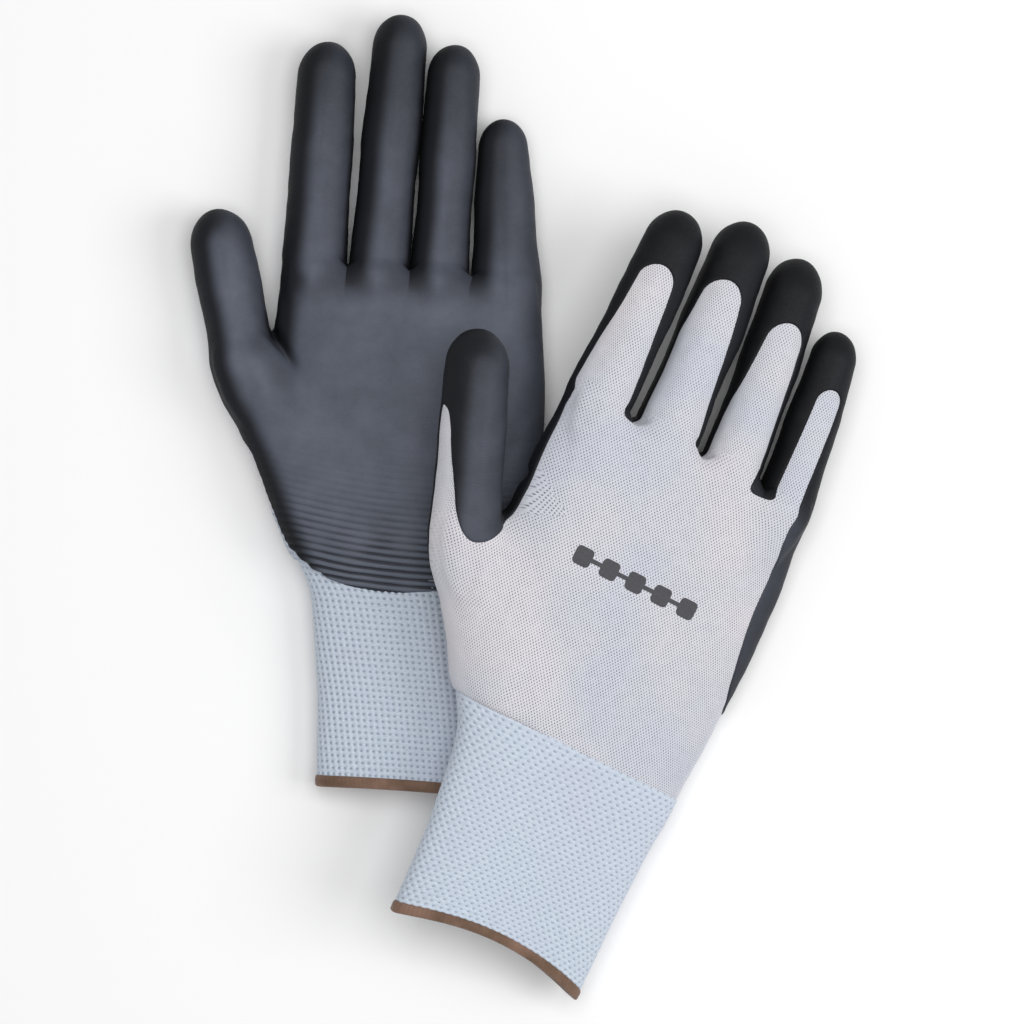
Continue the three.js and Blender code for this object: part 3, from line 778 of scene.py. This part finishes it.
def build_skin(glove):
    """The knit, and over it the coating on a finer net, each cut into pieces for the hand and for each
    finger's root and end.
    """
    points, quads = make_skin(glove)
    fixed = points[:, 1] < HAND_START_Y + 0.01
    fine_points, fine_quads = finer(glove, points, quads, fixed)
    for layer, p, q in (("liner", points, quads), ("coating", fine_points, fine_quads)):
        slot, ending = LAYERS[layer]
        normal = glove.gradient(p)
        d = dip_distance(glove, p)
        ridges = course_ridges(p)
        lift = unevenness(p)
        if layer == "coating":
            lift = lift + dip_height(p, d) + ridges
            keep = d[q].max(axis=1) > DIP_FROM
        else:
            lift = lift - CUFF_TUCK * smooth((CUFF_TOP_Y - 0.3 - p[:, 1]) / 1.5)
            keep = d[q].min(axis=1) < KNIT_TO
        moved = p + normal * lift[:, None]
        moved[p[:, 1] < HAND_START_Y + 0.01, 1] = HAND_START_Y
        owner, along = owner_of(glove, p[q].mean(axis=1))
        places = knit_places(glove, p, q, owner)
        values = {**painted_shade_and_masks(glove, p, normal), "ridge": ridges / COURSE_HEIGHT}
        for section, mine, finger, span in skin_sections(glove, owner, along):
            chosen = mine & keep
            piece = make_piece(
                glove, f"{section}_{ending}", slot, moved, q[chosen], places[chosen], values)
            place_piece(glove, piece, section, finger, span, layer)


# ---- The cuff, its hem and its elastic ----

def cuff_ring(glove, y, offset, count):
    """Evenly spaced points round the cuff, moved out by offset, from the middle of its hidden face."""
    centre_x, wide, centre_w, high, back = glove.section(y)
    t = np.linspace(0, 2 * pi, 721)
    hidden = -glove.up
    side = np.sign(np.sin(t)) * np.abs(np.sin(t)) ** (2 / HAND_POWER)
    rise = hidden * np.sign(np.cos(t)) * np.abs(np.cos(t)) ** (2 / HAND_POWER)
    x = centre_x + wide * side
    w = smooth_max(centre_w + high * rise, back + glove.rest_height(), 0.8)
    length = np.concatenate([[0], np.cumsum(np.hypot(np.diff(x), np.diff(w)))])
    at = np.arange(count) / count * length[-1]
    step = 0.2
    ring, ahead, behind = (
        np.stack([np.interp(place % length[-1], length, v) for v in (x, w)], axis=1)
        for place in (at, at + step, at - step))
    tangent = ahead - behind
    out = np.stack([tangent[:, 1], -tangent[:, 0]], axis=1) * -hidden
    out /= np.linalg.norm(out, axis=1, keepdims=True)
    ring = ring + out * np.broadcast_to(offset, count)[:, None]
    drop = np.clip((BOW_START_Y - y) / (BOW_START_Y - HEM_Y), 0, 1)
    bow = glove.bow * drop ** 2 * (1 - np.clip(np.abs(ring[:, 0] - centre_x) / wide, 0, 1) ** 2)
    return np.stack([ring[:, 0], y + bow, ring[:, 1]], axis=1)


def lofted(rings, closed_rows):
    """Points and quads of a stack of rings, which closes on itself if closed_rows, and each quad's
    row and column."""
    rows, count = len(rings), len(rings[0])
    j, i = np.meshgrid(np.arange(rows if closed_rows else rows - 1), np.arange(count), indexing="ij")
    up, right = (j + 1) % rows, (i + 1) % count
    quads = np.stack([j * count + i, j * count + right, up * count + right, up * count + i], axis=-1)
    return np.concatenate(rings), quads.reshape(-1, 4), j.ravel(), i.ravel()


def add_loft(glove, name, slot, rings, node, heights, values):
    """A closed tube from rings, with its winding turned outward."""
    points, quads, j, i = lofted(rings, True)
    place = np.empty((len(quads), 4, 2))
    heights = np.array(heights)
    for corner, (dj, di) in enumerate(((0, 0), (0, 1), (1, 1), (1, 0))):
        place[:, corner, 0] = i + di
        place[:, corner, 1] = heights[(j + dj) % len(heights)]
    centre = points.mean(axis=0)
    a, b, c = (points[quads[:, k]] for k in range(3))
    volume = np.einsum("ij,ij->i", a - centre, np.cross(b - centre, c - centre)).sum()
    if volume < 0:
        quads, place = quads[:, ::-1], place[:, ::-1]
    ride_hand(glove, make_piece(glove, name, slot, points, quads, place, values), node)


def build_cuff(glove):
    """Waffle knit down the outside and plain ribs up the inside, as one closed tube."""
    cells, cell_height, stagger, sharp = WAFFLE[glove.side]
    count = cells * WAFFLE_SAMPLES
    columns = np.arange(count)
    outer_y = np.arange(CUFF_TOP_Y, HEM_TOP_Y - 0.4, -cell_height / WAFFLE_ROWS)
    rings, heights, pits = [], [], []
    for y in outer_y:
        row = (CUFF_TOP_Y - y) / cell_height
        column = columns / count * cells + stagger * np.floor(row)
        pit = (np.sin(pi * column) ** 2 * np.sin(pi * row) ** 2) ** sharp
        fade = smooth((CUFF_TOP_Y - y) / 1.2)
        offset = (CUFF_PROUD - WAFFLE_DEPTH * pit) * fade - 0.4 * (1 - fade)
        rings.append(cuff_ring(glove, y, offset, count))
        heights.append(y)
        pits.append(pit * fade)
    rib = INNER_RIB * np.cos(2 * pi * columns / WAFFLE_SAMPLES)
    for y in np.linspace(outer_y[-1], CUFF_TOP_Y, INNER_ROWS):
        rings.append(cuff_ring(glove, y, rib - CUFF_WALL, count))
        heights.append(y)
        pits.append(np.full(count, 0.35))
    pits = {"pit": np.concatenate(pits)}
    add_loft(glove, "cuff_waffle", "cuff_knit", rings, "cuff_knit", heights, pits)


def build_hem(glove):
    """Overlocked binding: a rolled band with thread ridges that slant round it."""
    columns = np.arange(HEM_COUNT)
    rings = []
    half_wall = (CUFF_WALL + HEM_PROUD * 2) / 2
    centre_offset = HEM_PROUD - half_wall
    middle_y = (HEM_TOP_Y + HEM_Y) / 2
    half_height = (HEM_TOP_Y - HEM_Y) / 2
    for k in range(HEM_PROFILE):
        angle = 2 * pi * k / HEM_PROFILE
        bulge = [np.sign(v) * abs(v) ** 0.6 for v in (cos(angle), sin(angle))]
        turns = columns * HEM_THREADS / HEM_COUNT + 1.5 * k / HEM_PROFILE
        thread = HEM_RIDGE * np.cos(2 * pi * turns)
        offset = centre_offset + bulge[0] * (half_wall + thread)
        rings.append(cuff_ring(glove, middle_y + bulge[1] * half_height, offset, HEM_COUNT))
    add_loft(glove, "hem_binding", "hem_binding", rings, "cuff_hem", range(HEM_PROFILE), {})


def build_elastic(glove):
    """The elastic yarn, as a round thread winding up the inside of the cuff."""
    steps = ELASTIC_AROUND * ELASTIC_TURNS
    start_y, end_y = ELASTIC_SPAN
    inset = -CUFF_WALL - 0.2 - ELASTIC_RADIUS
    upward = np.array([0, 1.0, 0])
    angles = np.arange(ELASTIC_SIDES) * 2 * pi / ELASTIC_SIDES
    rings = []
    for i in range(steps + 1):
        y = start_y + (end_y - start_y) * i / steps
        centre = cuff_ring(glove, y, inset, ELASTIC_AROUND)[i % ELASTIC_AROUND]
        outward = cuff_ring(glove, y, inset + 1, ELASTIC_AROUND)[i % ELASTIC_AROUND] - centre
        ring = [ELASTIC_RADIUS * (outward * cos(a) + upward * sin(a)) for a in angles]
        rings.append(centre + np.array(ring) * (0.15 if i in (0, steps) else 1))
    points, quads, _, _ = lofted(rings, False)
    for end, turn in ((0, -1), (steps, 1)):
        first = end * ELASTIC_SIDES
        quads = np.concatenate([quads, [[first + k for k in (0, 1, 2, 3)][::turn],
                                        [first + k for k in (0, 3, 4, 7)][::turn],
                                        [first + k for k in (4, 5, 6, 7)][::turn]]])
    place = np.zeros((len(quads), 4, 2))
    piece = make_piece(glove, "elastic_yarn", "elastic_yarn", points, quads, place, {})
    ride_hand(glove, piece, "cuff_elastic")


# ---- The plain mark on the back ----

def on_back(glove, x, y, offset):
    """The skin's back at x, y, moved out by offset."""
    w = np.full(x.shape, 1.0)
    for _ in range(8):
        d = glove.field(x, y, w)
        slope = (glove.field(x, y, w + 0.1) - d) / 0.1
        w = w - np.clip(d / np.where(np.abs(slope) < 0.3, -0.3, slope), -1, 1)
    p = np.stack([x, y, w], axis=1)
    return p + glove.gradient(p) * (unevenness(p) + offset)[:, None]


def build_mark(glove):
    """A row of rounded squares on a thin line, as one thin print."""
    half, corner, pitch, step = MARK["size"] / 2, MARK["corner"], MARK["pitch"], MARK["step"]
    last = (MARK["count"] - 1) / 2
    span = last * pitch + half
    along = np.arange(-span - step, span + step * 1.5, step)
    across = np.arange(-half - step, half + step * 1.5, step)
    u, v = np.meshgrid(along, across, indexing="ij")
    nearest = np.round(np.clip(u / pitch, -last, last))
    a = np.abs(u - nearest * pitch) - half + corner
    b = np.abs(v) - half + corner
    square = np.hypot(np.maximum(a, 0), np.maximum(b, 0)) + np.minimum(np.maximum(a, b), 0) - corner
    line = np.maximum(np.abs(v) - MARK["line"] / 2, np.abs(u) - span + 2)
    d = np.minimum(square, line)
    height = MARK["face"] * smooth((0.15 - d) / 0.3) - 0.25 * smooth((d + 0.05) / 0.3)
    points = on_back(glove, MARK["x"] + u.ravel(), MARK["y"] + v.ravel(), height.ravel())
    n = len(across)
    i, j = np.meshgrid(np.arange(len(along) - 1), np.arange(n - 1), indexing="ij")
    quads = np.stack([i * n + j, i * n + j + 1, (i + 1) * n + j + 1, (i + 1) * n + j], axis=-1)
    quads = quads.reshape(-1, 4)
    quads = quads[d.ravel()[quads].min(axis=1) < 0.2]
    flat = np.stack([u.ravel(), v.ravel()], axis=1)
    piece = make_piece(glove, "back_mark", "back_print", points, quads, flat[quads], {})
    ride_hand(glove, piece, "back_print")


# ---- Materials ----

def colour(code):
    """Scene-linear colour of a #rrggbb code."""
    channels = [int(code[k:k + 2], 16) / 255 for k in (1, 3, 5)]
    return (*[c / 12.92 if c <= 0.04045 else ((c + 0.055) / 1.055) ** 2.4 for c in channels], 1)


class Net:
    """Short calls for building a material's nodes."""

    def __init__(self, name):
        self.material = bpy.data.materials.new(name)
        self.material.use_nodes = True
        self.tree = self.material.node_tree
        self.shader = self.tree.nodes["Principled BSDF"]

    def node(self, kind, **settings):
        made = self.tree.nodes.new(kind)
        for key, value in settings.items():
            setattr(made, key, value)
        return made

    def feed(self, socket, value):
        """Puts a link, a number or a #rrggbb colour into a socket."""
        if isinstance(value, bpy.types.NodeSocket):
            self.tree.links.new(value, socket)
        else:
            socket.default_value = colour(value) if isinstance(value, str) else value

    def math(self, operation, *values):
        made = self.node("ShaderNodeMath", operation=operation)
        for socket, value in zip(made.inputs, values):
            self.feed(socket, value)
        return made.outputs[0]

    def times(self, a, b):
        return self.math("MULTIPLY", a, b)

    def value(self, name):
        """A value that the mesh carries at its points."""
        return self.node("ShaderNodeAttribute", attribute_name=name).outputs["Fac"]

    def knit(self):
        """Place in the knit in millimetres, as two sockets."""
        uv = self.node("ShaderNodeUVMap", uv_map="knit")
        split = self.node("ShaderNodeSeparateXYZ")
        self.feed(split.inputs[0], uv.outputs[0])
        return [self.times(split.outputs[k], 1 / UV_PER_MM) for k in (0, 1)]

    def noise(self, scale, detail=3, rough=0.55, stretch=(1, 1, 1)):
        """Noise that rides on the skin, in features a millimetre."""
        place = self.node("ShaderNodeAttribute", attribute_name="place")
        mapping = self.node("ShaderNodeMapping")
        mapping.inputs["Scale"].default_value = stretch
        self.feed(mapping.inputs["Vector"], place.outputs["Vector"])
        made = self.node("ShaderNodeTexNoise")
        self.feed(made.inputs["Vector"], mapping.outputs[0])
        made.inputs["Scale"].default_value = scale
        made.inputs["Detail"].default_value = detail
        made.inputs["Roughness"].default_value = rough
        return made.outputs["Fac"]

    def mix(self, factor, a, b):
        made = self.node("ShaderNodeMix", data_type="RGBA")
        self.feed(made.inputs["Factor"], factor)
        self.feed(made.inputs["A"], a)
        self.feed(made.inputs["B"], b)
        return made.outputs["Result"]

    def spread(self, value, low, high, to_low=0.0, to_high=1.0):
        """The value from low to high, as to_low to to_high."""
        made = self.node("ShaderNodeMapRange")
        for key, given in (("Value", value), ("From Min", low), ("From Max", high),
                           ("To Min", to_low), ("To Max", to_high)):
            self.feed(made.inputs[key], given)
        return made.outputs["Result"]

    def bump(self, height, strength, distance_mm, under=None):
        made = self.node("ShaderNodeBump")
        made.inputs["Strength"].default_value = strength
        made.inputs["Distance"].default_value = distance_mm * MM
        self.feed(made.inputs["Height"], height)
        if under is not None:
            self.feed(made.inputs["Normal"], under)
        return made.outputs["Normal"]

    def cosine(self, value, pitch):
        return self.math("COSINE", self.times(value, 2 * pi / pitch))

    def wave(self, value, pitch):
        """Between 0 and 1, once a pitch."""
        return self.math("MULTIPLY_ADD", self.cosine(value, pitch), 0.5, 0.5)

    def finish(self, tint, rough, specular=0.5, sheen=0.0, normal=None):
        """Wires the shader and hands back the material."""
        self.feed(self.shader.inputs["Base Color"], tint)
        self.feed(self.shader.inputs["Roughness"], rough)
        self.shader.inputs["Specular IOR Level"].default_value = specular
        self.shader.inputs["Sheen Weight"].default_value = sheen
        if normal is not None:
            self.feed(self.shader.inputs["Normal"], normal)
        return self.material


def knit_material():
    """Fine plain knit: wales of small V stitches with dark pinholes between them."""
    net = Net("liner_knit")
    u, v = net.knit()
    wale = net.math("ABSOLUTE", net.math("SINE", net.times(u, pi / WALE_PITCH)))
    course = net.wave(net.math("MULTIPLY_ADD", wale, -0.45 * COURSE_SIZE, v), COURSE_SIZE)
    yarn = net.times(net.math("POWER", wale, 0.6), net.math("MULTIPLY_ADD", course, 0.55, 0.45))
    lattice = net.times(net.cosine(u, HOLE_PITCH[0]), net.cosine(v, HOLE_PITCH[1]))
    patchy = net.spread(net.noise(0.35, 2), 0.3, 0.6, 0.65, 1.0)
    hole = net.times(net.spread(lattice, 0.22, 0.88), patchy)
    hole = net.times(hole, net.math("MULTIPLY_ADD", net.value("steep"), -0.75, 1.0))
    tint = net.mix(net.spread(net.noise(0.018, 2), 0.4, 0.62), "#c8ccd7", "#d9d5d9")
    tint = net.mix(net.spread(net.noise(1.6, 2), 0.3, 0.7, 0.0, 0.25), tint, "#e9e9ed")
    tint = net.mix(net.times(net.math("SUBTRACT", 1.0, yarn), 0.16), tint, "#9b9da9")
    tint = net.mix(net.times(hole, 0.92), tint, "#565a67")
    # The left glove's knit next to its cuff is waffled too
    waffle = net.value("waffle")
    cell = net.times(net.wave(u, 2.1), net.wave(v, 1.95))
    # Painted shade in the pits of the waffle
    painted_pit_shade = net.spread(cell, 0.35, 1.0, 0.0, 0.75)
    tint = net.mix(waffle, tint, net.mix(painted_pit_shade, "#b9c3d2", "#5f6c81"))
    # Painted shade on the knit in folds and between the fingers
    tint = net.mix(net.times(net.value("painted_fold_shade"), 0.3), tint, "#8f93a0")
    fluff = net.bump(net.noise(2.2), 0.25, 0.2)
    pits = net.bump(net.times(cell, net.times(waffle, -1.0)), 0.8, 0.5, fluff)
    stitches = net.bump(net.math("SUBTRACT", net.times(yarn, 0.4), hole), 0.6, 0.25, pits)
    return net.finish(tint, 0.85, 0.25, 0.25, stitches)


def waffle_material():
    """Thicker cuff yarn, shaded by how deep a point lies in the waffle."""
    net = Net("cuff_knit")
    fibre = net.noise(1.3, stretch=(0.6, 2.0, 1.0))
    tint = net.mix(net.spread(fibre, 0.3, 0.7), "#b6c1d0", "#ced8e3")
    tint = net.mix(net.spread(net.noise(0.03, 2), 0.4, 0.65, 0.0, 0.3), tint, "#c6c6d8")
    # Painted shade in the waffle's pits, deeper where a point lies deeper
    tint = net.mix(net.spread(net.value("pit"), 0.35, 0.95, 0.0, 0.72), tint, "#6a768a")
    strands = net.noise(1.1, stretch=(0.5, 3.0, 1.0))
    return net.finish(tint, 0.88, 0.22, 0.25, net.bump(strands, 0.5, 0.25))


def dip_material():
    """Satin foam coating, with painted shade on the fingers, at the glove's rim, in its folds and
    between the knit's courses, and painted highlights on the courses.
    """
    net = Net("palm_dip")
    painted_rim_shade, ridge = net.value("painted_rim_shade"), net.value("ridge")
    mottle = net.noise(0.09, 4, 0.6)
    tint = net.mix(net.spread(mottle, 0.3, 0.7), "#4f545f", "#5b606d")
    dark = net.mix(net.spread(mottle, 0.35, 0.65), "#0c0e15", "#14161e")
    # Painted shade on the coating, strongest on the fingers
    tint = net.mix(net.value("tone"), tint, dark)
    # Painted highlight on the crests of the knit's courses, and painted shade in the hollows between
    # them
    tint = net.mix(net.spread(ridge, 0.0, 0.5, 0.0, 0.3), tint, "#6b7380")
    tint = net.mix(net.spread(ridge, -0.05, -0.5, 0.0, 0.75), tint, "#15171c")
    # Painted shade: the coating goes near black at the glove's rim
    tint = net.mix(net.times(painted_rim_shade, 0.93), tint, "#0d0e12")
    # Painted shade in the coating's folds and between the fingers
    folds = net.times(net.math("POWER", net.value("painted_fold_shade"), 1.3), 0.85)
    tint = net.mix(folds, tint, "#0b0c0f")
    grain = net.spread(net.noise(1.4, 4, 0.6), 0.3, 0.7, 0.46, 0.6)
    rough = net.math("ADD", grain, net.times(painted_rim_shade, 0.12))
    _, v = net.knit()
    crease = net.wave(net.math("ADD", v, net.times(net.noise(0.25, 2), 3.0)), CRAZE_PITCH)
    crazing = net.times(crease, net.spread(net.noise(0.5), 0.4, 0.62))
    fine = net.bump(net.noise(2.6, 4, 0.65), 0.25, 0.1)
    return net.finish(tint, rough, 0.22, normal=net.bump(crazing, 0.25, 0.12, fine))


def hem_material():
    """Brown overlock thread."""
    net = Net("hem_binding")
    column, row = net.knit()
    slant = net.math("ADD", column, net.times(row, 5.0))
    thread = net.wave(slant, HEM_COUNT / HEM_THREADS)
    tint = net.mix(net.spread(net.noise(0.12), 0.35, 0.65), "#67503f", "#866959")
    tint = net.mix(net.times(thread, 0.18), tint, "#523a2c")
    return net.finish(tint, 0.75, 0.3, 0.2, net.bump(net.noise(2.0), 0.3, 0.15))


def plain_material(name, low, high, rough):
    """A yarn or print of one tone with a fine grain."""
    net = Net(name)
    tint = net.mix(net.spread(net.noise(1.5), 0.3, 0.7), low, high)
    return net.finish(tint, rough, normal=net.bump(net.noise(3.0), 0.3, 0.15))


# ---- Floor, light and camera ----

def build_stage():
    """A plain pale floor, just under the gloves."""
    mesh = bpy.data.meshes.new("floor")
    half = FLOOR_SIZE / 2
    corners = [(x * half, y * half, FLOOR_Z) for x, y in ((-1, -1), (1, -1), (1, 1), (-1, 1))]
    mesh.from_pydata(corners, [], [(0, 1, 2, 3)])
    net = Net("floor")
    grain = net.node("ShaderNodeTexNoise")
    grain.inputs["Scale"].default_value = 3.0
    tint = net.mix(grain.outputs["Fac"], (0.95, 0.95, 0.95, 1), (0.97, 0.97, 0.97, 1))
    mesh.materials.append(net.finish(tint, 0.9, 0.0))
    linked("floor", mesh)


def build_light():
    """A white sky and soft area lights that face the middle of the pair."""
    scene = bpy.context.scene
    scene.view_settings.view_transform = "Standard"  # a white floor stays white
    scene.world = bpy.data.worlds.new("studio")
    scene.world.use_nodes = True
    sky = scene.world.node_tree.nodes["Background"]
    sky.inputs["Color"].default_value = (1, 1, 1, 1)
    sky.inputs["Strength"].default_value = SKY_STRENGTH
    for name, (place, size, power) in LIGHTS.items():
        light = bpy.data.lights.new(name, "AREA")
        light.shape = "RECTANGLE"
        light.size = light.size_y = size
        light.energy = power
        lamp = linked(name, light)
        lamp.location = place
        lamp.rotation_mode = "QUATERNION"
        lamp.rotation_quaternion = mathutils.Vector(place).to_track_quat("Z", "Y")


def build_camera():
    """A long lens, straight above the pair."""
    camera = bpy.data.cameras.new("camera")
    camera.sensor_width = 36
    camera.lens = camera.sensor_width * CAMERA_HEIGHT / VIEW_WIDTH
    camera.clip_start, camera.clip_end = 0.1, 20
    view = linked("camera", camera)
    view.location = (*VIEW_CENTRE, CAMERA_HEIGHT)
    bpy.context.scene.camera = view


# ---- Assembly ----

MATERIALS = {
    "liner_knit": knit_material(),
    "cuff_knit": waffle_material(),
    "palm_dip": dip_material(),
    "hem_binding": hem_material(),
    "elastic_yarn": plain_material("elastic_yarn", "#d4d4d0", "#ebebe6", 0.8),
    "back_print": plain_material("back_print", "#3f3f43", "#4b4b50", 0.75),
}

build_camera()
build_light()
build_stage()
for side_name in GLOVES:
    pair_half = Glove(side_name)
    build_skin(pair_half)
    build_cuff(pair_half)
    build_hem(pair_half)
    build_elastic(pair_half)
    if pair_half.up < 0:
        build_mark(pair_half)
